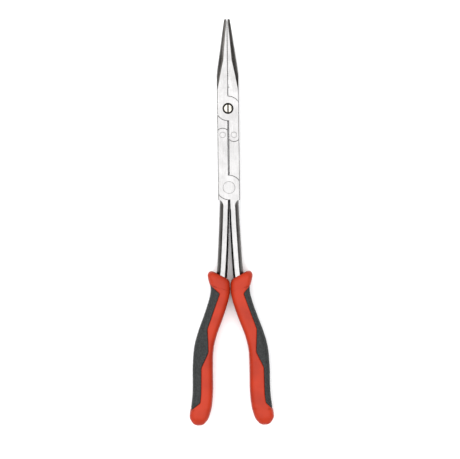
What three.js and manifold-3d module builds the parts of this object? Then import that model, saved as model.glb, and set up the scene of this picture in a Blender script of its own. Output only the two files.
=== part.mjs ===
// Long-reach needle nose pliers with two main pivots: a pair of jaws worked by a pair of levers.
// Millimetres. X runs across the tool, Y along it towards the jaw tips, Z up from the surface it lies on.
// Each jaw, lever and grip is made once and turned half a turn about the long axis for the other side.
import * as THREE from 'three';
import { mergeVertices } from 'three/addons/utils/BufferGeometryUtils.js';
import Module from 'manifold-3d';

const wasm = await Module();
wasm.setup();

// Overall
const tipY = 165; // half of the 330 mm overall length
const plateHalfWidth = 8.75; // of the flat head
const plateHalfThickness = 5.5;
const plateEdgeRound = 0.6; // along the head's flanks
const gripHalfThickness = 10;

// Pivots, on the long axis, and the two links' pins beside it
const upperPivotY = 92;
const lowerPivotY = 28;
const linkY = 70.6;
const linkX = 4.6;
const discRadius = 9.8; // half-thick lapped disc round each main pivot
const knuckleRadius = 5.3; // half-thick lapped end at each link pin
const armGap = 0.7; // half of the slot between the two arms
const lapGap = 0.1; // from the middle plane to each lapped half
const arcGap = 0.3; // between a lapped end and the shoulder round it

// Pins and their holes
const pinGap = 0.12; // running clearance
const openPivotGap = 0.4; // the upper pivot's, in the jaw that it doesn't ride with
const screw = { shaft: 3, head: 3.4, rim: 0.4, headDepth: 2.4, seat: 4.4, slotWidth: 1.1, slotDepth: 1.2 };
const rivet = { shaft: 3.2, head: 4.7, headDepth: 1.8 };
const linkPinRadius = 2.2;
const pinInset = 0.05; // how far pin ends stand below the plate's faces

// Jaws
const tipHalfWidth = 2.4;
const tipHalfThickness = 1.45;
const tipCorner = 0.8;
const noseBaseY = 131; // where the round nose meets the flanks of the plate
const noseBaseHalfWidth = 7.3;
const flankY = 118; // where the flanks reach the plate's full width
const taperY = 108; // where the plate starts to thin towards the tip
const coneFoot = { y: 100, radius: 13.95 };
const noseFlatness = 0.6; // thickness over width of the nose's oval
const jawGap = 0.15; // from the middle to each gripping face
const reliefGap = 0.25; // the same behind the teeth
const tooth = { pitch: 1.5, depth: 0.4, last: 163.5, count: 30 };

// Levers: centre line and half width of the shank, from the plate to the end of the tang in the grip
const shankLine = [
  [3.97, 24], [3.97, 12], [4.85, -12], [6.45, -41], [9.2, -58],
  [13.6, -74], [18.6, -89], [22.2, -105], [23.3, -124], [23.7, -147],
];
const shankFlat = 0.05; // share of the oval bar's half width that is flat above and below
const shankHalfWidth = { top: 3.6, collar: 4.4, end: 3.6, collarShare: 0.34 };
// Half height of the oval bar, before its faces are ground to the plate's thickness.
const shankHalfHeight = { top: 6.25, collar: 6 };
const shankLean = { top: 0.4, collar: 0.16 }; // how far those faces lie inwards, over the half width
const shoulder = { y: 18.1, endX: 4.5, endY: 10.5, innerX: 1.05 };
const headLap = 0.1; // how far the square stock below the head reaches up into it
const notch = { radius: 0.8, x: 8.95, rise: 4.5 }; // where a main pivot's disc meets the plate's flanks
const tangGap = 0.3;

// Grips: the inner and outer edge of the right one, station by station from collar to end
const gripEdges = [
  { inner: [2.4, -45.6], outer: [15.4, -39.3], half: 7.2 },
  { inner: [0.7, -48.3], outer: [17.6, -40.9], half: 9 },
  { inner: [0.2, -52], outer: [18.2, -44.2], half: 10 },
  { inner: [0.5, -58.5], outer: [16.2, -54.5], half: 10 },
  { inner: [2.9, -68], outer: [18.1, -64], half: 10 },
  { inner: [7, -80], outer: [22.1, -75.8], half: 10 },
  { inner: [11.5, -92], outer: [26.7, -88.3], half: 10 },
  { inner: [14.2, -104], outer: [30.2, -101], half: 10 },
  { inner: [14.8, -118], outer: [31.6, -117], half: 10 },
  { inner: [14.9, -136], outer: [31.9, -137], half: 10 },
  { inner: [16, -149], outer: [33.3, -150], half: 10 },
  { inner: [18.7, -158.6], outer: [34.2, -158], half: 9.2 },
  { inner: [21.8, -163], outer: [31.6, -163], half: 6.6 },
  { inner: [24, -tipY], outer: [29.2, -tipY], half: 4 },
];
const gripFlat = 0.45; // share of the grip's half width that is flat above and below
const gripSide = 0.1; // share of its half thickness that is flat at the sides

// Inlays: the edge of each on its wide face, from waist to end, and how far the narrow face steps back
const inlayEdge = [[8.3, -57.6], [18.7, -86.4], [17.9, -105], [24, -117.6], [24.4, -138.5], [25.2, -146]];
const inlayStart = [20, -47.7];
const inlayFinish = [37, -154.5];
const zoneEdgeX = 48; // well outside the grip
const narrowStep = 2.3;
const inlayDepth = 2.2;
const inlayGap = 0.3;

const mergeTolerance = 0.01; // slivers left by a cut are closed up to this size
const facets = { disc: 60, pin: 36, cone: 48, corner: 5, edge: 3, steps: 32 };

const steel = { color: 0xd9d8d6, roughness: 0.32, metalness: 1 };
const warmSteel = { color: 0xcfc7b8, roughness: 0.35, metalness: 1 };
const redRubber = { color: 0xd04a33, roughness: 0.5, metalness: 0 };
const blackRubber = { color: 0x3b3f3f, roughness: 0.75, metalness: 0 };

// A closed three.js geometry as a solid that can be joined and cut.
function solid(geometry) {
  geometry.deleteAttribute('normal');
  geometry.deleteAttribute('uv');
  const merged = mergeVertices(geometry, 1e-4);
  return new wasm.Manifold(new wasm.Mesh({
    numProp: 3,
    vertProperties: merged.attributes.position.array,
    triVerts: Uint32Array.from(merged.index.array),
  }));
}

// A solid as a named mesh.
function part(name, body, finish) {
  const shell = body.simplify(mergeTolerance).getMesh();
  const geometry = new THREE.BufferGeometry();
  geometry.setAttribute('position', new THREE.BufferAttribute(shell.vertProperties, shell.numProp));
  geometry.setIndex(new THREE.BufferAttribute(shell.triVerts, 1));
  geometry.computeVertexNormals();
  const mesh = new THREE.Mesh(geometry, new THREE.MeshStandardMaterial(finish));
  mesh.name = name;
  return mesh;
}

// A part turned half a turn about the long axis, as a second piece of its own name.
function turned(mesh, name = mesh.name) {
  const copy = new THREE.Mesh(mesh.geometry, mesh.material);
  copy.name = name;
  copy.rotation.y = Math.PI;
  return copy;
}

function block([x0, x1], [y0, y1], [z0, z1]) {
  const geometry = new THREE.BoxGeometry(x1 - x0, y1 - y0, z1 - z0);
  geometry.translate((x0 + x1) / 2, (y0 + y1) / 2, (z0 + z1) / 2);
  return solid(geometry);
}

function cylinder([x, y], radius, [z0, z1], sides = facets.pin, topRadius = radius) {
  const geometry = new THREE.CylinderGeometry(topRadius, radius, z1 - z0, sides);
  geometry.rotateX(Math.PI / 2);
  geometry.translate(x, y, (z0 + z1) / 2);
  return solid(geometry);
}

function slab(outline, [z0, z1]) {
  const geometry = new THREE.ExtrudeGeometry(outline, { depth: z1 - z0, bevelEnabled: false });
  geometry.translate(0, 0, z0);
  return solid(geometry);
}

// A unit section with flats at u and v of 1 and quarter ovals between them.
function ovalSection(flatU, flatV) {
  const section = new THREE.Shape();
  for (const [quarter, signU, signV] of [[0, 1, 1], [1, -1, 1], [2, -1, -1], [3, 1, -1]]) {
    for (let i = 0; i <= facets.corner; i += 1) {
      const angle = (quarter + i / facets.corner) * Math.PI / 2;
      const u = signU * flatU + (1 - flatU) * Math.cos(angle);
      const v = signV * flatV + (1 - flatV) * Math.sin(angle);
      if (quarter === 0 && i === 0) section.moveTo(u, v);
      else section.lineTo(u, v);
    }
  }
  return section;
}

// A bar of the given unit section, drawn out between an inner and an outer edge curve.
// halfAt gives its half thickness at each share of the length, inset makes it that much smaller all round,
// and leanAt moves its upper and lower faces towards the inner edge.
function loft(section, innerEdge, outerEdge, halfAt, inset = 0, leanAt = () => 0) {
  const geometry = new THREE.ExtrudeGeometry(section, { depth: 1, steps: facets.steps, bevelEnabled: false });
  const place = geometry.attributes.position;
  for (let i = 0; i < place.count; i += 1) {
    const share = Math.min(Math.max(place.getZ(i), 0), 1);
    const a = innerEdge.getPoint(share);
    const b = outerEdge.getPoint(share);
    const centre = a.clone().add(b).multiplyScalar(0.5);
    const halfWidth = a.distanceTo(b) / 2;
    const u = place.getX(i) - leanAt(share) * place.getY(i) ** 2;
    const across = b.clone().sub(a).normalize().multiplyScalar((halfWidth - inset) * u);
    centre.add(across);
    place.setXYZ(i, centre.x, centre.y, (halfAt(share) - inset) * place.getY(i));
  }
  return solid(geometry);
}

const full = [-plateHalfThickness, plateHalfThickness];
const front = [lapGap, plateHalfThickness];
const back = [-plateHalfThickness - 1, lapGap]; // reaches past the back face, as a cutter
const rightStrip = [armGap, plateHalfWidth];
const leftStrip = [-plateHalfWidth, -armGap];
const upperPivot = [0, upperPivotY];
const lowerPivot = [0, lowerPivotY];

// The head's stock, from the shoulders to the tips: the plate's section with its long edges rounded.
function headStock() {
  const x = plateHalfWidth - plateEdgeRound;
  const z = plateHalfThickness - plateEdgeRound;
  const section = new THREE.Shape();
  section.absarc(x, z, plateEdgeRound, 0, Math.PI / 2);
  section.absarc(-x, z, plateEdgeRound, Math.PI / 2, Math.PI);
  section.absarc(-x, -z, plateEdgeRound, Math.PI, Math.PI * 1.5);
  section.absarc(x, -z, plateEdgeRound, Math.PI * 1.5, Math.PI * 2);
  const geometry = new THREE.ExtrudeGeometry(section, {
    depth: tipY + 1 - shoulder.y, curveSegments: facets.edge, bevelEnabled: false,
  });
  geometry.rotateX(-Math.PI / 2);
  geometry.translate(0, shoulder.y, 0);
  return solid(geometry);
}

// The front half of a main pivot's disc, flattened at the plate's edges.
function lappedDisc([x, y]) {
  const disc = cylinder([x, y], discRadius, front, facets.disc);
  return disc.intersect(block([-plateHalfWidth, plateHalfWidth], [y - 20, y + 20], front));
}

// Small scallops in the front half of the plate's flanks beside a main pivot.
function flankNotches([x, y], sides) {
  const span = [lapGap, full[1] + 1];
  const scallops = sides.flatMap((side) => [-notch.rise, notch.rise].map(
    (rise) => cylinder([x + side * notch.x, y + rise], notch.radius, span),
  ));
  return wasm.Manifold.union(scallops);
}

// The front half of a link's rounded end, flattened at the arm's edges.
function lappedKnuckle(x, strip) {
  const knuckle = cylinder([x, linkY], knuckleRadius, front, facets.pin);
  return knuckle.intersect(block(strip, [linkY - 10, linkY + 10], front));
}

// The jaw's half of the nose, seen from above, with its teeth along the middle.
function noseOutline() {
  const outline = new THREE.Shape();
  outline.moveTo(-reliefGap, upperPivotY);
  const firstTooth = tooth.last - tooth.count * tooth.pitch;
  outline.lineTo(-reliefGap, firstTooth);
  for (let i = 0; i < tooth.count; i += 1) {
    const y = firstTooth + i * tooth.pitch;
    outline.lineTo(-jawGap - tooth.depth, y + tooth.pitch * 0.2);
    outline.lineTo(-jawGap, y + tooth.pitch * 0.7);
    outline.lineTo(-jawGap, y + tooth.pitch);
  }
  outline.lineTo(-jawGap, tipY);
  outline.lineTo(-tipHalfWidth + tipCorner, tipY);
  outline.quadraticCurveTo(-tipHalfWidth, tipY, -tipHalfWidth - 0.1, tipY - tipCorner);
  outline.lineTo(-noseBaseHalfWidth, noseBaseY);
  outline.quadraticCurveTo(-plateHalfWidth, noseBaseY - 9, -plateHalfWidth, flankY);
  outline.lineTo(-plateHalfWidth, upperPivotY);
  return outline;
}

// An oval cone about the long axis, wide enough at its foot to leave the plate's corners square.
function noseCone() {
  const profile = [
    [0, coneFoot.y - 15], [coneFoot.radius + 3, coneFoot.y - 15], [coneFoot.radius, coneFoot.y],
    [noseBaseHalfWidth, noseBaseY], [tipHalfWidth, tipY], [0, tipY],
  ].map(([radius, y]) => new THREE.Vector2(radius, y));
  const geometry = new THREE.LatheGeometry(profile, facets.cone);
  geometry.scale(1, 1, noseFlatness);
  return solid(geometry);
}

// The jaw's thickness from the side, drawn as (z, y) and swept across the tool.
function noseWedge() {
  const side = new THREE.Shape();
  side.moveTo(-plateHalfThickness, upperPivotY - 1);
  side.lineTo(plateHalfThickness, upperPivotY - 1);
  side.lineTo(plateHalfThickness, taperY);
  side.lineTo(tipHalfThickness, tipY);
  side.lineTo(-tipHalfThickness, tipY);
  side.lineTo(-plateHalfThickness, taperY);
  const geometry = new THREE.ExtrudeGeometry(side, { depth: 2 * plateHalfWidth + 2, bevelEnabled: false });
  geometry.rotateY(-Math.PI / 2);
  geometry.translate(plateHalfWidth + 1, 0, 0);
  return solid(geometry);
}

// The left jaw: its half of the nose, the front disc of the upper pivot, and its tail on the right.
function jawBody() {
  const nose = slab(noseOutline(), full).intersect(noseWedge()).intersect(noseCone());
  const tailFront = block(rightStrip, [linkY, upperPivotY], front);
  const tailBack = block(rightStrip, [linkY, upperPivotY], [-plateHalfThickness, lapGap]);
  return nose
    .add(tailBack)
    .subtract(cylinder(upperPivot, discRadius + arcGap, back, facets.disc))
    .subtract(cylinder([linkX, linkY], knuckleRadius + arcGap, back))
    .add(tailFront)
    .add(lappedDisc(upperPivot))
    .add(lappedKnuckle(linkX, rightStrip))
    .subtract(flankNotches(upperPivot, [-1, 1]))
    .intersect(headStock());
}

// The oval bar of a lever, from inside the plate to the end of its tang, or a pocket that clears it.
function shankBar(clearance = 0) {
  const points = shankLine.map(([x, y]) => new THREE.Vector2(x, y));
  points.at(-1).y -= 3 * clearance;
  const centre = new THREE.SplineCurve(points);
  const ground = plateHalfThickness + clearance;
  const reach = 2 * tipY;
  const { top, collar, end, collarShare } = shankHalfWidth;
  const halfWidthAt = (share) => (share < collarShare
    ? THREE.MathUtils.lerp(top, collar, share / collarShare)
    : THREE.MathUtils.lerp(collar, end, (share - collarShare) / (1 - collarShare)));
  const towardsCollar = (size) => (share) => (
    THREE.MathUtils.lerp(size.top, size.collar, Math.min(share / collarShare, 1)));
  const edge = (side) => ({
    getPoint(share) {
      const along = centre.getTangent(share);
      const across = new THREE.Vector2(-along.y, along.x).multiplyScalar(side * halfWidthAt(share));
      return centre.getPoint(share).add(across);
    },
  });
  const halfHeightAt = towardsCollar(shankHalfHeight);
  const section = ovalSection(shankFlat, 0);
  const bar = loft(section, edge(-1), edge(1), halfHeightAt, -clearance, towardsCollar(shankLean));
  return bar.intersect(block([-reach, reach], [-reach, reach], [-ground, ground]));
}

// The plate's lower corner, which narrows in a curved shoulder to the shank's ground face.
function shoulderOutline() {
  const outline = new THREE.Shape();
  outline.moveTo(armGap, lowerPivotY);
  outline.lineTo(shoulder.innerX, shoulder.endY);
  outline.lineTo(shoulder.endX, shoulder.endY);
  outline.quadraticCurveTo(shoulder.endX, shoulder.y - 0.6, plateHalfWidth, shoulder.y);
  outline.lineTo(plateHalfWidth, lowerPivotY);
  return outline;
}

// The right lever: its arm on the left, the front disc of the lower pivot, and its shank on the right.
function leverBody() {
  const arm = [lowerPivotY, linkY];
  const belowHead = block([-tipY, tipY], [-tipY, shoulder.y + headLap], full);
  return shankBar()
    .add(slab(shoulderOutline(), full))
    .add(block(leftStrip, arm, [-plateHalfThickness, lapGap]))
    .subtract(cylinder(lowerPivot, discRadius + arcGap, back, facets.disc))
    .subtract(cylinder([-linkX, linkY], knuckleRadius + arcGap, back))
    .add(block(leftStrip, arm, front))
    .add(lappedDisc(lowerPivot))
    .add(lappedKnuckle(-linkX, leftStrip))
    .subtract(flankNotches(lowerPivot, [-1]))
    .intersect(headStock().add(belowHead));
}

// A grip's outer shape, or one that lies the given inset inside it.
function gripForm(inset = 0) {
  const edge = (side) => new THREE.SplineCurve(gripEdges.map((g) => new THREE.Vector2(...g[side])));
  const halves = new THREE.SplineCurve(gripEdges.map((g, i) => new THREE.Vector2(i, g.half)));
  const halfAt = (share) => Math.min(halves.getPoint(share).y, gripHalfThickness);
  return loft(ovalSection(gripFlat, gripSide), edge('inner'), edge('outer'), halfAt, inset);
}

// The space outside an inlay's edge: the wide face is the back one of the right grip.
function inlayZone(shift) {
  const zone = (step, span) => {
    const outline = new THREE.Shape();
    const edge = inlayEdge.map(([x, y]) => [x + step, y]);
    const outside = [[zoneEdgeX, inlayFinish[1]], [zoneEdgeX, inlayStart[1]]];
    const points = [inlayStart, ...edge, inlayFinish, ...outside];
    outline.setFromPoints(points.map(([x, y]) => new THREE.Vector2(x + shift, y)));
    return slab(outline, span);
  };
  const reach = gripHalfThickness + 1;
  return zone(0, [-reach, -shift]).add(zone(narrowStep, [-reach, reach]));
}

function gripBody() {
  return gripForm()
    .subtract(inlayZone(0))
    .add(gripForm(inlayDepth + inlayGap))
    .subtract(shankBar(tangGap));
}

function inlayBody() {
  return gripForm().intersect(inlayZone(inlayGap)).subtract(gripForm(inlayDepth));
}

// A pin's hole right through, with a seat for its head in the front face where one is given.
function drilled(body, centre, radius, seat) {
  const reach = plateHalfThickness + 1;
  const holed = body.subtract(cylinder(centre, radius, [-reach, reach]));
  if (!seat) return holed;
  return holed.subtract(cylinder(centre, seat.radius, [plateHalfThickness - seat.depth, reach]));
}

function jaw(name, pivotGap) {
  const seat = { radius: screw.seat, depth: screw.headDepth + pinGap };
  const bored = drilled(jawBody(), upperPivot, screw.shaft + pivotGap, seat);
  return part(name, drilled(bored, [linkX, linkY], linkPinRadius + pinGap), steel);
}

function lever(name) {
  const seat = { radius: rivet.head + pinGap, depth: rivet.headDepth + pinGap };
  const bored = drilled(leverBody(), lowerPivot, rivet.shaft + pinGap, seat);
  return part(name, drilled(bored, [-linkX, linkY], linkPinRadius + pinGap), steel);
}

// The upper pivot: a screw with a bevelled, slotted head in front and its riveted end behind.
function pivotScrew() {
  const face = plateHalfThickness - pinInset;
  const { shaft, head, rim, headDepth, slotWidth, slotDepth } = screw;
  const slot = block(
    [-slotWidth / 2, slotWidth / 2], [upperPivotY - head, upperPivotY + head], [face - slotDepth, face + 1],
  );
  return cylinder(upperPivot, shaft, [-face, face])
    .add(cylinder(upperPivot, head, [plateHalfThickness - headDepth, face - rim]))
    .add(cylinder(upperPivot, head, [face - rim, face], facets.pin, head - rim))
    .add(cylinder(upperPivot, head, [-face, headDepth - plateHalfThickness]))
    .subtract(slot);
}

// The lower pivot: a rivet dressed flush with both faces.
function pivotRivet() {
  const face = plateHalfThickness - pinInset;
  const headEnd = plateHalfThickness - rivet.headDepth;
  return cylinder(lowerPivot, rivet.shaft, [-face, face])
    .add(cylinder(lowerPivot, rivet.head, [headEnd, face]))
    .add(cylinder(lowerPivot, rivet.head, [-face, -headEnd]));
}

function linkPin(x) {
  const face = plateHalfThickness - pinInset;
  return cylinder([x, linkY], linkPinRadius, [-face, face]);
}

const jawLeft = jaw('jaw_left', pinGap);
const leverRight = lever('lever_right');
const gripRight = part('grip_right', gripBody(), redRubber);
const inlayRight = part('grip_inlay_right', inlayBody(), blackRubber);

const pliers = new THREE.Group();
pliers.position.z = gripHalfThickness;
pliers.add(
  jawLeft,
  turned(jaw('jaw_right', openPivotGap)),
  part('upper_pivot_screw', pivotScrew(), warmSteel),
  leverRight,
  turned(leverRight, 'lever_left'),
  part('lower_pivot_rivet', pivotRivet(), steel),
  part('link_pin_left', linkPin(-linkX), steel),
  part('link_pin_right', linkPin(linkX), steel),
  gripRight,
  turned(gripRight, 'grip_left'),
  inlayRight,
  turned(inlayRight, 'grip_inlay_left'),
);

export default pliers;
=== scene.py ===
import bisect
import math

import bmesh
import bpy
from mathutils import Matrix, Vector


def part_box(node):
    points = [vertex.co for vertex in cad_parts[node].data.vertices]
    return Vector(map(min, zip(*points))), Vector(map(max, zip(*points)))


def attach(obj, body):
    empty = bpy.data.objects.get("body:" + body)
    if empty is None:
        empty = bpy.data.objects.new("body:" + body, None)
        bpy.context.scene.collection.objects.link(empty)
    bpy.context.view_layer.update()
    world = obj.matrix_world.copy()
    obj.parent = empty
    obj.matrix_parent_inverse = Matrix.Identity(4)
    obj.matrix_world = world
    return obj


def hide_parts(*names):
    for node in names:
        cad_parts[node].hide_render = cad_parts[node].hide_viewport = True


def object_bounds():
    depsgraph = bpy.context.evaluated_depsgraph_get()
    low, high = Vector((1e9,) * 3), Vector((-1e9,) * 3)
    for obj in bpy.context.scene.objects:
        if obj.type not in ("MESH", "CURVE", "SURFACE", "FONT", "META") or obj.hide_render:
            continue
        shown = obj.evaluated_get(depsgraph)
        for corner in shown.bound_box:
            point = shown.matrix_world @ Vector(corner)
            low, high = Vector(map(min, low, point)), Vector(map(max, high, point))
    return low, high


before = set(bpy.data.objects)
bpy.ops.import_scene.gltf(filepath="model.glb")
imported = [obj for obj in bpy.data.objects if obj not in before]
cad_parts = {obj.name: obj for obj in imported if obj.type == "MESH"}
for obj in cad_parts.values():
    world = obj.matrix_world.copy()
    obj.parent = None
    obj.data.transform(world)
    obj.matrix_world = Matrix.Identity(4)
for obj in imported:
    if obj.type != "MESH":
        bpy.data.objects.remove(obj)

# Long-reach double-pivot pliers. Sizes are in millimetres until a mesh is made, X across the tool,
# Y towards the jaw tips, Z up from the surface it lies on.
mm = 0.001
cadLow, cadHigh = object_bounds()
middleZ = (cadLow.z + cadHigh.z) / 2 / mm  # the plane that the jaws, levers and grips are lapped about
print("frame loaded")


def linear(hexCode):
    def channel(c):
        return c / 12.92 if c <= 0.04045 else ((c + 0.055) / 1.055) ** 2.4
    return tuple(channel(int(hexCode[i:i + 2], 16) / 255) for i in (1, 3, 5)) + (1,)


def addNode(tree, kind, inputs=None, **settings):
    node = tree.nodes.new(kind)
    for name, value in settings.items():
        setattr(node, name, value)
    for name, value in (inputs or {}).items():
        if isinstance(value, bpy.types.NodeSocket):
            tree.links.new(value, node.inputs[name])
        else:
            node.inputs[name].default_value = value
    return node


def newMaterial(name, **surface):
    material = bpy.data.materials.new(name)
    material.use_nodes = True
    tree = material.node_tree
    shader = tree.nodes["Principled BSDF"]
    for socket, value in surface.items():
        shader.inputs[socket.replace("_", " ")].default_value = value
    place = addNode(tree, "ShaderNodeTexCoord").outputs["Object"]
    return material, tree, shader, place


noiseRange = (0.3, 0.7)  # between which nearly all of a noise lies


# The look of a surface: its tone picks between two colours, its wear between two roughnesses, and its
# height is a bump.
def dress(tree, shader, look, tone, wear=None, height=None):
    colour = addNode(tree, "ShaderNodeValToRGB", {"Fac": tone})
    hexCodes = (look["darkHex"], look["hex"])
    for element, at, hexCode in zip(colour.color_ramp.elements, look["toneRange"], hexCodes):
        element.position = at
        element.color = linear(hexCode)
    tree.links.new(colour.outputs["Color"], shader.inputs["Base Color"])
    if wear:
        low, high = noiseRange
        smooth, rough = look["roughness"]
        limits = {"From Min": low, "From Max": high, "To Min": smooth, "To Max": rough}
        worn = addNode(tree, "ShaderNodeMapRange", {"Value": wear, **limits})
        tree.links.new(worn.outputs["Result"], shader.inputs["Roughness"])
    if height:
        strength, rise = look["bump"]
        relief = {"Strength": strength, "Distance": rise * mm}
        bump = addNode(tree, "ShaderNodeBump", {"Height": height, **relief})
        tree.links.new(bump.outputs["Normal"], shader.inputs["Normal"])


groundLook = {
    "hex": "#9F9E9E",
    "darkHex": "#8E8D8D",
    "toneRange": (0.32, 0.56),
    "roughness": (0.27, 0.36),
    "bump": (0.35, 0.02),  # strength, and height in mm
    "grainAcross": 0.35,  # mm between the grinding lines, coarsened from about 0.1 so that they show
    "grainAlong": 9.0,  # mm that a line runs
    "wipeAcross": 6,  # mm, the cloth's marks across the grain
    "wipeAlong": 0.5,
    "cloud": 11.1,  # mm, the drift of the tone along a face
    "speck": 0.9,  # mm, the mottling of handled steel
    "speckShare": 0.35,
    "ringSpacing": 0.5,  # mm between the turning marks round a pivot, coarsened from about 0.1
    "ringFade": (7.5, 9.5),  # mm from a pivot's centre, where its marks die out
    "ringShare": 1.2,
}


# Drop-forged alloy steel, its faces surface-ground: bright and satin, with fine lines along the tool
# and faint rings where the pivots' bosses were faced.
def groundSteel():
    look = groundLook
    material, tree, shader, place = newMaterial("ground alloy steel", Metallic=1)
    across, along = 1 / (look["grainAcross"] * mm), 1 / (look["grainAlong"] * mm)
    grainAt = addNode(tree, "ShaderNodeMapping", {"Vector": place, "Scale": (across, along, across)})
    grain = addNode(
        tree, "ShaderNodeTexNoise", {"Vector": grainAt.outputs["Vector"], "Scale": 1, "Detail": 4},
    ).outputs["Fac"]
    across, along = 1 / (look["wipeAcross"] * mm), 1 / (look["wipeAlong"] * mm)
    wipeAt = addNode(tree, "ShaderNodeMapping", {"Vector": place, "Scale": (across, along, across)})
    wipe = addNode(
        tree, "ShaderNodeTexNoise", {"Vector": wipeAt.outputs["Vector"], "Scale": 1, "Detail": 3},
    ).outputs["Fac"]
    height = addNode(tree, "ShaderNodeMath", {0: grain, 1: wipe}, operation="ADD").outputs[0]
    perRing = 1 / (look["ringSpacing"] * mm)
    fadeStart, fadeEnd = (distance * mm for distance in look["ringFade"])
    fade = {"From Min": fadeStart, "From Max": fadeEnd, "To Min": look["ringShare"], "To Max": 0}
    for pivot in pivots:
        offset = addNode(tree, "ShaderNodeVectorMath", {0: place, 1: pivot}, operation="SUBTRACT").outputs[0]
        level = addNode(
            tree, "ShaderNodeVectorMath", {0: offset, 1: (1, 1, 0)}, operation="MULTIPLY",
        ).outputs[0]
        radius = addNode(tree, "ShaderNodeVectorMath", {0: level}, operation="LENGTH").outputs["Value"]
        turns = addNode(tree, "ShaderNodeMath", {0: radius, 1: perRing}, operation="MULTIPLY").outputs[0]
        rings = addNode(
            tree, "ShaderNodeTexNoise", {"W": turns, "Scale": 1}, noise_dimensions="1D",
        ).outputs["Fac"]
        near = addNode(tree, "ShaderNodeMapRange", {"Value": radius, **fade}).outputs["Result"]
        ringHeight = addNode(tree, "ShaderNodeMath", {0: rings, 1: near}, operation="MULTIPLY").outputs[0]
        height = addNode(tree, "ShaderNodeMath", {0: height, 1: ringHeight}, operation="ADD").outputs[0]
    cloud = addNode(
        tree, "ShaderNodeTexNoise", {"Vector": place, "Scale": 1 / (look["cloud"] * mm), "Detail": 3},
    ).outputs["Fac"]
    speck = addNode(
        tree, "ShaderNodeTexNoise", {"Vector": place, "Scale": 1 / (look["speck"] * mm), "Detail": 2},
    ).outputs["Fac"]
    clouded = addNode(tree, "ShaderNodeMath", {0: grain, 1: cloud}, operation="MULTIPLY").outputs[0]
    tone = addNode(
        tree, "ShaderNodeMath", {0: speck, 1: look["speckShare"], 2: clouded}, operation="MULTIPLY_ADD",
    ).outputs[0]
    dress(tree, shader, look, tone, wear=wipe, height=height)
    return material


forgedShadeLook = {
    "hex": "#4C4A48",
    "darkHex": "#3A3836",
    "toneRange": (0.35, 0.65),
    "roughness": (0.22, 0.34),
    "bump": (0.4, 0.04),
    "pebble": 0.8,  # mm, the soft unevenness that tumbling leaves
    "cloud": 14.3,  # mm
}


# The same steel where it was left as forged and tumbled: smoother, a little uneven, and darker, partly from
# that finish and partly as painted shade on the sides that turn from the overhead light.
def forgedSteelAndShade():
    material, tree, shader, place = newMaterial("forged alloy steel with painted shade", Metallic=1)
    pebble = addNode(
        tree, "ShaderNodeTexNoise", {"Vector": place, "Scale": 1 / (forgedShadeLook["pebble"] * mm), "Detail": 3},
    ).outputs["Fac"]
    cloud = addNode(
        tree, "ShaderNodeTexNoise", {"Vector": place, "Scale": 1 / (forgedShadeLook["cloud"] * mm), "Detail": 2},
    ).outputs["Fac"]
    dress(tree, shader, forgedShadeLook, cloud, wear=pebble, height=pebble)
    return material


turnedLook = {
    "hex": "#B0ACA4",
    "darkHex": "#A09C95",
    "toneRange": (0.3, 0.6),
    "roughness": (0.26, 0.4),
    "bump": (0.3, 0.03),
    "cloud": 1.43,  # mm, the marks of peening and of the screwdriver
}


# Turned pin steel, dressed flush: slightly warmer than the forgings, and a little knocked about.
def turnedSteel():
    material, tree, shader, place = newMaterial("turned pin steel", Metallic=1)
    cloud = addNode(
        tree, "ShaderNodeTexNoise", {"Vector": place, "Scale": 1 / (turnedLook["cloud"] * mm), "Detail": 4},
    ).outputs["Fac"]
    dress(tree, shader, turnedLook, cloud, wear=cloud, height=cloud)
    return material


recessShadeLook = {
    "hex": "#2B2723",
    "darkHex": "#12100E",
    "toneRange": (0.35, 0.7),
    "roughness": (0.5, 0.75),
    "speck": 0.667,  # mm, the clots of oil and dust
}


# Grooves, slots, seats and the jaws' gripping faces: dull and nearly black, partly from oil and grinding
# dust, partly painted shade for these hollows and gaps.
def oiledRecessAndShade():
    material, tree, shader, place = newMaterial("oiled steel recess with painted shade", Specular_IOR_Level=0.15)
    specks = addNode(
        tree, "ShaderNodeTexNoise", {"Vector": place, "Scale": 1 / (recessShadeLook["speck"] * mm), "Detail": 3},
    ).outputs["Fac"]
    dress(tree, shader, recessShadeLook, specks, wear=specks)
    return material


redLook = {
    "hex": "#9F290D",
    "darkHex": "#8E220A",
    "toneRange": (0.3, 0.62),
    "roughness": (0.42, 0.54),
    "bump": (0.35, 0.06),
    "grain": 0.45,  # mm, the satin that the mould's blasted wall leaves
    "cloud": 16.7,  # mm, the slight drift of the pigment
}


# Injection-moulded thermoplastic elastomer, firm: even colour, satin, slightly cloudy.
def redElastomer():
    material, tree, shader, place = newMaterial("red moulded elastomer", IOR=1.5, Specular_IOR_Level=0.2)
    cloud = addNode(
        tree, "ShaderNodeTexNoise", {"Vector": place, "Scale": 1 / (redLook["cloud"] * mm), "Detail": 3},
    ).outputs["Fac"]
    grain = addNode(
        tree, "ShaderNodeTexNoise", {"Vector": place, "Scale": 1 / (redLook["grain"] * mm), "Detail": 2},
    ).outputs["Fac"]
    dress(tree, shader, redLook, cloud, wear=grain, height=grain)
    return material


blackLook = {
    "hex": "#2A2D2D",
    "darkHex": "#131515",
    "toneRange": (0.1, 0.9),
    "roughness": (0.62, 0.78),
    "bump": (0.6, 0.12),
    "pebble": 0.9,  # mm between the pebbles of its skin, coarsened from about 0.5
    "pebbleEdge": (0.1, 0.6),  # share of a pebble's width over which it falls away
    "grain": 0.4545,  # mm
    "grainShare": 0.4,
}


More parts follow.
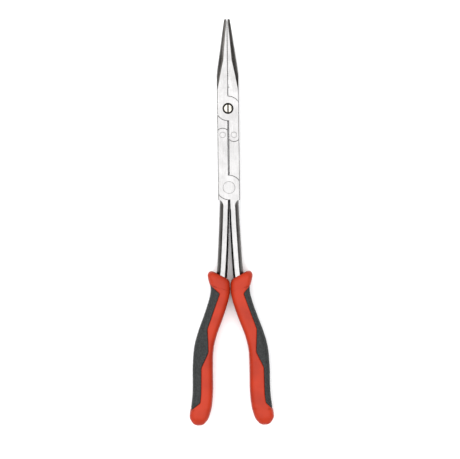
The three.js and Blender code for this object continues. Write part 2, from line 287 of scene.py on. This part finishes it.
# Soft thermoplastic rubber with a pebbled, matt skin.
def blackRubber():
    look = blackLook
    material, tree, shader, place = newMaterial("black pebbled rubber", IOR=1.5, Specular_IOR_Level=0.35)
    spots = addNode(
        tree, "ShaderNodeTexVoronoi", {"Vector": place, "Scale": 1 / (look["pebble"] * mm)},
        feature="SMOOTH_F1",
    ).outputs["Distance"]
    grain = addNode(
        tree, "ShaderNodeTexNoise", {"Vector": place, "Scale": 1 / (look["grain"] * mm), "Detail": 3},
    ).outputs["Fac"]
    top, foot = look["pebbleEdge"]
    fall = {"From Min": top, "From Max": foot, "To Min": 1, "To Max": 0}
    dome = addNode(tree, "ShaderNodeMapRange", {"Value": spots, **fall}).outputs["Result"]
    height = addNode(
        tree, "ShaderNodeMath", {0: grain, 1: look["grainShare"], 2: dome}, operation="MULTIPLY_ADD",
    ).outputs[0]
    # The skin's colour follows the pebbles: lighter on their tops, darker in the hollows between them, as
    # painted shade.
    dress(tree, shader, look, dome, wear=grain, height=height)
    return material


def centreOf(node):
    low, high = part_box(node)
    return (Vector(low) + Vector(high)) / 2


pivots = [centreOf("upper_pivot_screw"), centreOf("lower_pivot_rivet")]
ground, forgedAndShaded, turnedPin, oilAndShade = groundSteel(), forgedSteelAndShade(), turnedSteel(), oiledRecessAndShade()
redGrip, blackInlay = redElastomer(), blackRubber()
print("materials made")


def meshObject(name, mesh, materials, body, node):
    for material in materials:
        mesh.materials.append(material)
    piece = bpy.data.objects.new(name, mesh)
    bpy.context.scene.collection.objects.link(piece)
    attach(piece, body)
    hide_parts(node)


edgeBreak = {
    "ground": 0.1,  # mm, the width of the broken edges of the forgings
    "pin": 0.06,
    "segments": 2,
    "sharpest": 50,  # degrees that an edge must turn to be broken
    "smoothed": 32,  # degrees up to which neighbouring faces are shaded as one
    "weld": 0.002,  # mm, under which two points are one
    "sliver": 0.004,  # mm, under which an edge is dropped
    "coplanar": 0.6,  # degrees, under which two faces are one
    "slack": 0.02,  # mm within which a face belongs to a piece's front or back
}
upright = {"side": 0.98, "face": 0.999, "floor": 0.9999}  # how nearly a face's normal points up or down
# Which faces take the dark finish, oil and dust and painted shade in hollows and between the jaws:
recess = {
    "depth": 0.4,  # mm below the front or back from which a level face is the floor of a recess
    "pivotRadius": 6,  # mm from a pivot's centre, inside which the walls of its seat are
    "pivotDepth": 0.25,
    "grippingReach": 1.2,  # mm from the long axis within which a jaw's side faces are its gripping faces
    "lapWithin": 1,  # mm from the middle plane within which a jaw's level faces are its lap
}
notch = {"x": 8.95, "rise": 4.5, "radius": 0.84}  # mm, the scallops in the flanks beside each pivot
notchSpots = [
    pivot.xy + Vector((side * notch["x"], rise * notch["rise"])) * mm
    for pivot in pivots for side in (-1, 1) for rise in (-1, 1)
]
meetingRib = {"near": 0.015, "far": 0.8, "along": (103, 164), "halfHeight": 0.8}  # mm from the long axis


def brokenEdges(node, width, wanted):
    bm = bmesh.new()
    bm.from_mesh(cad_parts[node].data)
    bmesh.ops.remove_doubles(bm, verts=bm.verts, dist=edgeBreak["weld"] * mm)
    bmesh.ops.dissolve_degenerate(bm, edges=bm.edges, dist=edgeBreak["sliver"] * mm)
    bmesh.ops.dissolve_limit(
        bm, angle_limit=math.radians(edgeBreak["coplanar"]), verts=bm.verts, edges=bm.edges,
        use_dissolve_boundaries=False,
    )
    sharpest = math.radians(edgeBreak["sharpest"])
    edges = [e for e in bm.edges if e.is_manifold and e.calc_face_angle(0) > sharpest and wanted(e)]
    bmesh.ops.bevel(
        bm, geom=edges, offset=width * mm, offset_type="OFFSET", segments=edgeBreak["segments"], profile=0.5,
        affect="EDGES", clamp_overlap=False,
    )
    mesh = bpy.data.meshes.new(node)
    bm.to_mesh(mesh)
    bm.free()
    return mesh


# The jaws' teeth meet, so no daylight shows between them: a narrow rib stands on each gripping face, and
# takes the dark finish, painted shade for the gap between the jaws.
def addRib(mesh, side):
    bm = bmesh.new()
    bm.from_mesh(mesh)
    near, far = meetingRib["near"], meetingRib["far"]
    start, finish = meetingRib["along"]
    centre = Vector((side * (near + far) / 2, (start + finish) / 2, middleZ)) * mm
    size = Vector((far - near, finish - start, 2 * meetingRib["halfHeight"])) * mm
    bmesh.ops.create_cube(bm, size=1, matrix=Matrix.LocRotScale(centre, None, size))
    bm.to_mesh(mesh)
    bm.free()


def isFrontOrBack(face, level):
    offset = abs(face.calc_center_median().z / mm - middleZ) - level
    return abs(face.normal.z) > upright["face"] and abs(offset) < edgeBreak["slack"]


def isFlat(face):
    return abs(face.normal.z) > upright["side"]


# Floors of recesses, the jaws' gripping faces, the scallops and the walls round a pivot, which take the dark
# finish: oil and dust, and painted shade.
def takesOilAndShade(face, level):
    depth = level - abs(face.center.z / mm - middleZ)
    facesOut = face.normal.z * (face.center.z - middleZ * mm) > 0
    if abs(face.normal.z) > upright["floor"] and facesOut and depth > recess["depth"]:
        return True
    flat = isFlat(face)
    betweenJaws = abs(face.center.x) < recess["grippingReach"] * mm and face.center.y > pivots[0].y
    if betweenJaws and (not flat or depth > level - recess["lapWithin"]):
        return True
    inNotch = min((face.center.xy - spot).length for spot in notchSpots) < notch["radius"] * mm
    if inNotch and not flat:
        return True
    fromPivot = min((face.center.xy - pivot.xy).length for pivot in pivots)
    return fromPivot < recess["pivotRadius"] * mm and depth > recess["pivotDepth"]


# The first material is for the faces that were ground, the second, if there is one, for the sides: darker,
# partly as painted shade.
def steelPiece(name, node, body, width, materials):
    low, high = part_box(node)
    level = (high[2] - low[2]) / mm / 2
    mesh = brokenEdges(node, width, lambda e: any(isFrontOrBack(f, level) for f in e.link_faces))
    if node.startswith("jaw"):
        addRib(mesh, -1 if node == "jaw_left" else 1)
    meshObject(name, mesh, [*materials, oilAndShade], body, node)
    # Recessed faces and those between the jaws take the last material: oil, and painted shade.
    for face in mesh.polygons:
        if takesOilAndShade(face, level):
            face.material_index = len(materials)
        # Faces that are not level take the darker side steel, painted shade in part.
        elif not isFlat(face) and len(materials) > 1:
            face.material_index = 1
    mesh.shade_smooth()
    mesh.set_sharp_from_angle(angle=math.radians(edgeBreak["smoothed"]))


for name, node, body in (
    ("leftJaw", "jaw_left", "left_jaw"),
    ("rightJaw", "jaw_right", "right_jaw"),
    ("leftLever", "lever_left", "left_handle"),
    ("rightLever", "lever_right", "right_handle"),
):
    steelPiece(name, node, body, edgeBreak["ground"], [ground, forgedAndShaded])
for name, node, body, finish in (
    ("upperPivotScrew", "upper_pivot_screw", "left_jaw", turnedPin),
    ("lowerPivotRivet", "lower_pivot_rivet", "right_handle", ground),
    ("leftLinkPin", "link_pin_left", "right_handle", ground),
    ("rightLinkPin", "link_pin_right", "left_handle", ground),
):
    steelPiece(name, node, body, edgeBreak["pin"], [finish])
print("steel pieces made")


gripShape = {
    # from collar to end, in mm: a point of the inner edge, one of the outer edge, half the thickness
    "stations": [
        ((2.4, -45.6), (15.4, -39.3), 7.2), ((0.7, -48.3), (17.6, -40.9), 9), ((0.2, -52), (18.2, -44.2), 10),
        ((0.5, -58.5), (16.2, -54.5), 10), ((2.9, -68), (18.1, -64), 10), ((7, -80), (22.1, -75.8), 10),
        ((11.5, -92), (26.7, -88.3), 10), ((14.2, -104), (30.2, -101), 10), ((14.8, -118), (31.6, -117), 10),
        ((14.9, -136), (31.9, -137), 10), ((16, -149), (33.3, -150), 10), ((18.7, -158.6), (34.2, -158), 9.2),
        ((21.8, -163), (31.6, -163), 6.6),
    ],
    "ringStep": 0.45,  # mm from one ring of faces to the next
    "squareness": 3.8,  # 2 would be an oval section
    "collarRound": 1.6,
    "collarSteps": 7,
    "dish": (1.2, 0.9),  # width and depth of the hollow that the steel goes into
    "endRadius": 8,
    "endSteps": 12,
    "lip": (1.3, 0.6),  # width and drop of the rounding beside the inlay
    "redColumns": 44,
    "leastPocket": 0.4,  # width under which the inlay's pocket has run out
    "smoothed": 50,  # degrees up to which neighbouring faces are shaded as one
}
inlayShape = {
    "edge": [(8.3, -57.6), (18.7, -86.4), (17.9, -105), (24, -117.6), (24.4, -138.5), (25.2, -146)],
    "start": (20, -47.7),
    "finish": (37, -154.5),
    "cornerRound": 1.3,
    "cornerSteps": 6,
    "narrowStep": 2.3,  # on its narrow face the inlay's edge lies this much further out
    "depth": 1.7,
    "depthShare": 0.3,  # of the inlay's width, past which its pocket never goes
    "seat": 0.15,  # gap under the inlay
    "leastDepth": 0.7,
    "groove": 0.25,
    "recess": 0.45,  # the inlay's skin lies this far below the grip's
    "rim": (0.8, 0.4),
    "leastWidth": 1.2,
    "columns": 26,
}
fineSteps = [0, 0.12, 0.3, 0.55, 0.85, 1.2, 1.7]  # mm from a border, where the sections' points crowd
fineShare = 0.04  # of a narrow stretch, to which each of those steps is held
poleRadius = 0.0004  # mm, to which a ring that closes the end shrinks
toPole = 99  # mm, a rim wider than any section
tiny = 1e-9  # keeps a division from zero
edgeSlack = 1e-6  # share of a line's piece by which a crossing may miss its ends


# A Catmull-Rom curve through the values, with one unit of share from each to the next.
def smoothThrough(values, share):
    i = min(int(share), len(values) - 2)
    w = share - i
    p0, p1, p2, p3 = (values[min(max(k, 0), len(values) - 1)] for k in (i - 1, i, i + 1, i + 2))
    t1, t2 = (p2 - p0) * 0.5, (p3 - p1) * 0.5
    return (p1 * 2 - p2 * 2 + t1 + t2) * w ** 3 + (p2 * 3 - p1 * 3 - t1 * 2 - t2) * w ** 2 + t1 * w + p1


def gripRing(share):
    stations = gripShape["stations"]
    inner = smoothThrough([Vector(s[0]) for s in stations], share)
    outer = smoothThrough([Vector(s[1]) for s in stations], share)
    half = min(smoothThrough([s[2] for s in stations], share), middleZ)
    outer.x = min(outer.x, cadHigh.x / mm)
    return inner, outer, half


def middleOf(share):
    inner, outer, _ = gripRing(share)
    return (inner + outer) / 2


# Each ring: its inner and outer point, half its height, and how far it is drawn in all round.
def gripRings():
    last = len(gripShape["stations"]) - 1
    collarRound, steps = gripShape["collarRound"], gripShape["collarSteps"]
    dishWidth, dishDepth = gripShape["dish"]
    collarStep = (middleOf(1) - middleOf(0)).length
    bottomOfDish = gripRing(dishDepth / collarStep)
    rings = [(*bottomOfDish, toPole), (*bottomOfDish, collarRound + dishWidth)]
    for k in range(steps + 1):
        turn = k / steps * math.pi / 2
        share = collarRound * (1 - math.cos(turn)) / collarStep
        rings.append((*gripRing(share), collarRound * (1 - math.sin(turn))))
    share = collarRound / collarStep
    ahead = 0.01  # share of a station over which the pace is measured
    while True:
        pace = (middleOf(min(share + ahead, last)) - middleOf(share)).length / ahead
        share += gripShape["ringStep"] / pace
        if share >= last:
            break
        rings.append((*gripRing(share), 0))
    return rings + endRings(*gripRing(last))


# The free end is round in plan: an arc that takes over from the last station.
def endRings(inner, outer, half):
    radius, steps = gripShape["endRadius"], gripShape["endSteps"]
    centreY = cadLow.y / mm + radius
    wide = math.sqrt(radius ** 2 - (inner.y - centreY) ** 2)
    opening = math.asin(wide / radius)
    middle, across = (inner + outer) / 2, (outer - inner) / 2
    rings = []
    for k in range(steps + 1):
        turn = opening * (1 - k / steps)
        shrink = min(radius * math.sin(turn) / wide, 1)
        spot = Vector((middle.x, centreY - radius * math.cos(turn)))
        rings.append((spot - across * shrink, spot + across * shrink, half * shrink, 0))
    return rings


def roundedLine(points, radius):
    line = [Vector(points[0])]
    for before, corner, after in zip(points, points[1:], points[2:]):
        before, corner, after = Vector(before), Vector(corner), Vector(after)
        start = corner + (before - corner).normalized() * radius
        end = corner + (after - corner).normalized() * radius
        for i in range(inlayShape["cornerSteps"] + 1):
            t = i / inlayShape["cornerSteps"]
            line.append(start * (1 - t) ** 2 + corner * (2 * t * (1 - t)) + end * t ** 2)
    return line + [Vector(points[-1])]


def shifted(line, distance):
    moved = []
    for i, point in enumerate(line):
        along = (line[min(i + 1, len(line) - 1)] - line[max(i - 1, 0)]).normalized()
        moved.append(point + Vector((-along.y, along.x)) * distance)
    return moved


def inlayLine(step, gap):
    points = [inlayShape["start"], *[(x + step, y) for x, y in inlayShape["edge"]], inlayShape["finish"]]
    return shifted(roundedLine(points, inlayShape["cornerRound"]), gap)


# Where a section's long axis meets a line, from -1 at its inner point to 1 at its outer one.
def crossing(inner, outer, line):
    found = 1
    for a, b in zip(line, line[1:]):
        d, e, w = outer - inner, b - a, a - inner
        cross = d.x * e.y - d.y * e.x
        if abs(cross) < tiny:
            continue
        along = (w.x * e.y - w.y * e.x) / cross
        onEdge = (w.x * d.y - w.y * d.x) / cross
        if 0 <= along <= 1 and -edgeSlack <= onEdge <= 1 + edgeSlack:
            found = min(found, 2 * along - 1)
    return found


def distanceTo(line, spot):
    best = math.inf
    for a, b in zip(line, line[1:]):
        e = b - a
        t = min(max((spot - a).dot(e) / e.dot(e), 0), 1)
        best = min(best, (a + e * t - spot).length)
    return best


# How far a surface has dropped at a distance from its border: a quarter round, width wide and drop high.
def eased(distance, width, drop):
    if distance >= width:
        return 0
    return drop * (1 - math.sqrt(max(1 - (1 - distance / width) ** 2, 0)))


# One cross-section of a grip: a superellipse, measured along its outline.
class Section:
    samples = 240  # straight pieces in the measured outline

    def __init__(self, ring):
        inner, outer, half, rim = ring
        self.inner, self.outer = inner, outer
        self.centre = (inner + outer) / 2
        self.across = (outer - inner).normalized()
        self.a = max((outer - inner).length / 2 - rim, poleRadius)
        self.b = max(half - rim, poleRadius)
        self.n = gripShape["squareness"]
        self.lengths = [0]
        previous = self.at(0)
        for j in range(1, self.samples + 1):
            spot = self.at(2 * math.pi * j / self.samples)
            self.lengths.append(self.lengths[-1] + math.hypot(
                (spot[0] - previous[0]) * self.a, (spot[1] - previous[1]) * self.b))
            previous = spot
        self.whole = self.lengths[-1]

    def at(self, angle):
        c, s = math.cos(angle), math.sin(angle)
        return math.copysign(abs(c) ** (2 / self.n), c), math.copysign(abs(s) ** (2 / self.n), s)

    def lengthAt(self, angle):
        x = angle / (2 * math.pi) * self.samples
        i = min(int(x), self.samples - 1)
        return self.lengths[i] + (self.lengths[i + 1] - self.lengths[i]) * (x - i)

    def point(self, length, inset):
        length %= self.whole
        i = min(bisect.bisect_right(self.lengths, length) - 1, self.samples - 1)
        step = self.lengths[i + 1] - self.lengths[i]
        angle = 2 * math.pi * (i + (length - self.lengths[i]) / max(step, tiny)) / self.samples
        u, v = self.at(angle)
        nx = math.copysign(abs(u) ** (self.n - 1), u) / self.a
        nz = math.copysign(abs(v) ** (self.n - 1), v) / self.b
        norm = math.hypot(nx, nz)
        x, z = u * self.a - nx / norm * inset, v * self.b - nz / norm * inset
        spot = self.centre + self.across * x
        return Vector((spot.x, spot.y, z))

    def borderLength(self, line):
        u = min(max(crossing(self.inner, self.outer, line), -1), 1)
        return self.lengthAt(math.acos(math.copysign(abs(u) ** (self.n / 2), u)))


# Places from start to end, close together near both, with the same number of them for any width.
def crowded(start, end, columns):
    width = end - start
    fine = [min(f, width * fineShare * i) for i, f in enumerate(fineSteps)]
    inside = [start + fine[-1] + (width - 2 * fine[-1]) * k / columns for k in range(1, columns)]
    return [start + f for f in fine] + inside + [end - f for f in reversed(fine)]


def loftFaces(bm, rows):
    rings = [[bm.verts.new(p) for p in row] for row in rows]
    count = len(rings[0])
    for lower, upper in zip(rings, rings[1:]):
        for k in range(count):
            q = (k + 1) % count
            bm.faces.new((lower[k], lower[q], upper[q], upper[k]))
    return rings


def inlayLines(gap):
    return {"narrow": inlayLine(inlayShape["narrowStep"], gap), "wide": inlayLine(0, gap)}


# The skin's points between two places on a section, let down beside the nearest border line.
def skinRow(section, lengths, lines, level, width, drop):
    row = []
    for length in lengths:
        spot = section.point(length, 0)
        line = lines["narrow" if spot.z > 0 else "wide"]
        row.append(section.point(length, level + eased(distanceTo(line, spot.xy), width, drop)))
    return row


# A pocket runs along the outer side of the red grip, and the inlay fills it: its skin, then its underside.
def gripRows():
    pocketLines, skinLines = inlayLines(0), inlayLines(inlayShape["groove"])
    lipWidth, lipDrop = gripShape["lip"]
    columns = inlayShape["columns"] // 2
    redRows, blackRows = [], []
    for ring in gripRings():
        section = Section(ring)
        top, bottom = (section.borderLength(pocketLines[face]) for face in ("narrow", "wide"))
        width = top + bottom
        lengths = crowded(top, section.whole - bottom, gripShape["redColumns"])
        row = skinRow(section, lengths, pocketLines, 0, lipWidth, lipDrop)
        depth = lipDrop + min(inlayShape["depth"], inlayShape["depthShare"] * width)
        for k in range(columns + 1):
            length = section.whole - bottom + width * k / columns
            row.append(section.point(length, depth) if width > gripShape["leastPocket"] else row[-1])
        redRows.append(row)

        top, bottom = (section.borderLength(skinLines[face]) for face in ("narrow", "wide"))
        width = top + bottom
        if width < inlayShape["leastWidth"]:
            continue
        lengths = crowded(-bottom, top, inlayShape["columns"])
        row = skinRow(section, lengths, skinLines, inlayShape["recess"], *inlayShape["rim"])
        under = max(depth - inlayShape["seat"], inlayShape["leastDepth"])
        for k in range(columns + 1):
            row.append(section.point(top - width * k / columns, under))
        blackRows.append(row)
    return redRows, blackRows


pebbles = {
    "spacing": 1.05,  # mm, coarsened from about 0.5
    "width": 0.8,
    "height": 0.13,
    "margin": 1.0,  # mm at each end of an inlay that stays smooth
    "sizes": (0.75, 1.15),  # of the width and height, at random
    "perSquareMetre": 1.6e6,  # before those closer than the spacing are left out
    "rooted": 0.1,  # share of a pebble's radius that is below the skin
    "seed": 7,
}


def pebbleTree():
    tree = bpy.data.node_groups.new("pebbles", "GeometryNodeTree")
    face = tree.interface
    face.new_socket("Geometry", in_out="INPUT", socket_type="NodeSocketGeometry")
    for name in ("Spacing", "Width", "Height"):
        face.new_socket(name, in_out="INPUT", socket_type="NodeSocketFloat")
    face.new_socket("Seed", in_out="INPUT", socket_type="NodeSocketInt")
    face.new_socket("Geometry", in_out="OUTPUT", socket_type="NodeSocketGeometry")
    given = tree.nodes.new("NodeGroupInput").outputs
    where = addNode(tree, "GeometryNodeInputNamedAttribute", {"Name": "pebbled"}, data_type="BOOLEAN")
    spread = addNode(
        tree, "GeometryNodeDistributePointsOnFaces",
        {"Mesh": given["Geometry"], "Selection": where.outputs["Attribute"], "Seed": given["Seed"],
         "Distance Min": given["Spacing"], "Density Max": pebbles["perSquareMetre"]},
        distribute_method="POISSON",
    )
    ball = addNode(tree, "GeometryNodeMeshIcoSphere", {"Radius": 1, "Subdivisions": 2}).outputs["Mesh"]
    at = addNode(tree, "GeometryNodeInputPosition").outputs["Position"]
    z = addNode(tree, "ShaderNodeSeparateXYZ", {"Vector": at}).outputs["Z"]
    below = addNode(
        tree, "FunctionNodeCompare", {"A": z, "B": -pebbles["rooted"]}, operation="LESS_THAN",
    ).outputs["Result"]
    dome = addNode(tree, "GeometryNodeDeleteGeometry", {"Geometry": ball, "Selection": below})
    dome = addNode(tree, "GeometryNodeSetShadeSmooth", {"Geometry": dome.outputs["Geometry"]})
    half = addNode(tree, "ShaderNodeMath", {0: given["Width"], 1: 0.5}, operation="MULTIPLY").outputs[0]
    size = addNode(
        tree, "ShaderNodeCombineXYZ", {"X": half, "Y": half, "Z": given["Height"]},
    ).outputs["Vector"]
    smallest, largest = pebbles["sizes"]
    vary = addNode(
        tree, "FunctionNodeRandomValue", {2: smallest, 3: largest, "Seed": given["Seed"]}, data_type="FLOAT",
    ).outputs[1]
    varied = addNode(tree, "ShaderNodeVectorMath", {0: size, "Scale": vary}, operation="SCALE").outputs[0]
    placed = addNode(
        tree, "GeometryNodeInstanceOnPoints",
        {"Points": spread.outputs["Points"], "Rotation": spread.outputs["Rotation"],
         "Instance": dome.outputs["Geometry"], "Scale": varied},
    ).outputs["Instances"]
    real = addNode(tree, "GeometryNodeRealizeInstances", {"Geometry": placed}).outputs["Geometry"]
    both = tree.nodes.new("GeometryNodeJoinGeometry")
    tree.links.new(real, both.inputs[0])
    tree.links.new(given["Geometry"], both.inputs[0])
    done = addNode(tree, "GeometryNodeSetMaterial", {"Geometry": both.outputs[0], "Material": blackInlay})
    out = tree.nodes.new("NodeGroupOutput")
    tree.links.new(done.outputs["Geometry"], out.inputs["Geometry"])
    return tree


def pebbled(mesh):
    tree = pebbleTree()
    holder = bpy.data.objects.new("holder", mesh)
    bpy.context.scene.collection.objects.link(holder)
    modifier = holder.modifiers.new("pebbles", "NODES")
    modifier.node_group = tree
    ids = {item.name: item.identifier for item in tree.interface.items_tree if item.in_out == "INPUT"}
    modifier[ids["Spacing"]] = pebbles["spacing"] * mm
    modifier[ids["Width"]] = pebbles["width"] * mm
    modifier[ids["Height"]] = pebbles["height"] * mm
    modifier[ids["Seed"]] = pebbles["seed"]
    graph = bpy.context.evaluated_depsgraph_get()
    result = bpy.data.meshes.new_from_object(holder.evaluated_get(graph))
    bpy.data.objects.remove(holder)
    return result


gripWeld = {"near": 0.005, "sliver": 0.001}  # mm


def closedMesh(name, rows, turnedOver, skinColumns=None):
    bm = bmesh.new()
    pebbledLayer = bm.faces.layers.bool.new("pebbled")
    place = Matrix.Diagonal((-mm, mm, -mm, 1)) if turnedOver else Matrix.Diagonal((mm, mm, mm, 1))
    place.translation = (0, 0, middleZ * mm)
    rings = loftFaces(bm, [[place @ p for p in row] for row in rows])
    if skinColumns:
        count = len(rings[0])
        margin = math.ceil(pebbles["margin"] / gripShape["ringStep"]) + 1
        for i, face in enumerate(bm.faces):
            ring, column = divmod(i, count)
            inside = margin <= ring < len(rings) - margin
            face[pebbledLayer] = inside and skinColumns[0] <= column < skinColumns[1]
        bm.faces.new(list(reversed(rings[0])))
        bm.faces.new(rings[-1])
    bmesh.ops.remove_doubles(bm, verts=bm.verts, dist=gripWeld["near"] * mm)
    bmesh.ops.dissolve_degenerate(bm, edges=bm.edges, dist=gripWeld["sliver"] * mm)
    bmesh.ops.recalc_face_normals(bm, faces=bm.faces)
    mesh = bpy.data.meshes.new(name)
    bm.to_mesh(mesh)
    bm.free()
    mesh.shade_smooth()
    mesh.set_sharp_from_angle(angle=math.radians(gripShape["smoothed"]))
    return mesh


# The left grip is the right one turned half a turn about the tool's long axis.
redRows, blackRows = gripRows()
skinEnd = len(crowded(0, 1, inlayShape["columns"])) - 1
skinColumns = (len(fineSteps), skinEnd - len(fineSteps))
for side, turnedOver in (("right", False), ("left", True)):
    body = side + "_handle"
    red = closedMesh(side + "Grip", redRows, turnedOver)
    meshObject(side + "Grip", red, [redGrip], body, "grip_" + side)
    black = pebbled(closedMesh(side + "Inlay", blackRows, turnedOver, skinColumns))
    black.materials.clear()
    meshObject(side + "Inlay", black, [blackInlay], body, "grip_inlay_" + side)
print("grips made")


paperLook = {
    "hex": "#F6F6F6",
    "darkHex": "#F3F3F4",
    "toneRange": (0.35, 0.65),
    "bump": (0.1, 0.03),
    "cloud": 60,  # mm
    "fibre": 0.8,  # mm
    "reach": 2,  # m from the middle of the sheet to its sides
}


# Studio paper: white and matt, very slightly cloudy.
def studioPaper():
    material, tree, shader, place = newMaterial("white studio paper", Roughness=0.9)
    cloud = addNode(
        tree, "ShaderNodeTexNoise", {"Vector": place, "Scale": 1 / (paperLook["cloud"] * mm), "Detail": 3},
    ).outputs["Fac"]
    fibre = addNode(
        tree, "ShaderNodeTexNoise", {"Vector": place, "Scale": 1 / (paperLook["fibre"] * mm), "Detail": 2},
    ).outputs["Fac"]
    dress(tree, shader, paperLook, cloud, height=fibre)
    return material


reach = paperLook["reach"]
corners = [(-reach, -reach, 0), (reach, -reach, 0), (reach, reach, 0), (-reach, reach, 0)]
floorMesh = bpy.data.meshes.new("floor")
floorMesh.from_pydata(corners, [], [(0, 1, 2, 3)])
floorMesh.materials.append(studioPaper())
floor = bpy.data.objects.new("floor", floorMesh)
bpy.context.scene.collection.objects.link(floor)


# Square softboxes, in metres and watts.
softboxes = {
    "overheadSoftbox": {"at": (-0.25, 0.1, 1.6), "towards": (-0.25, 0.1, 0), "size": 2.8, "power": 60},
    "leftSoftbox": {"at": (-1.1, 0.5, 0.9), "towards": (0, 0, 0), "size": 0.5, "power": 3},
}
wallStrength = 0.7  # the white walls of the studio, all round
for name, box in softboxes.items():
    data = bpy.data.lights.new(name, "AREA")
    data.shape = "SQUARE"
    data.size = box["size"]
    data.energy = box["power"]
    light = bpy.data.objects.new(name, data)
    light.location = box["at"]
    aim = Vector(box["towards"]) - Vector(box["at"])
    light.rotation_euler = aim.to_track_quat("-Z", "Y").to_euler()
    bpy.context.scene.collection.objects.link(light)
world = bpy.data.worlds.new("studio")
world.use_nodes = True
background = world.node_tree.nodes["Background"]
background.inputs["Color"].default_value = (1, 1, 1, 1)
background.inputs["Strength"].default_value = wallStrength
bpy.context.scene.world = world
bpy.context.scene.view_settings.view_transform = "Standard"

shot = {
    "distance": 1.1,  # m above the tool's top
    "frameWidth": 0.3707,  # m across the frame at the tool
    "lookAt": (0.0004, -0.0060),
    "lean": 0.71,  # degrees that the camera is turned about its view
    "sensorWidth": 36,  # mm
}
camera = bpy.data.objects.new("camera", bpy.data.cameras.new("camera"))
camera.data.sensor_width = shot["sensorWidth"]
camera.data.lens = shot["sensorWidth"] * shot["distance"] / shot["frameWidth"]
camera.location = (*shot["lookAt"], shot["distance"] + cadHigh.z)
camera.rotation_euler = (0, 0, -math.radians(shot["lean"]))
bpy.context.scene.collection.objects.link(camera)
bpy.context.scene.camera = camera
print("studio ready")
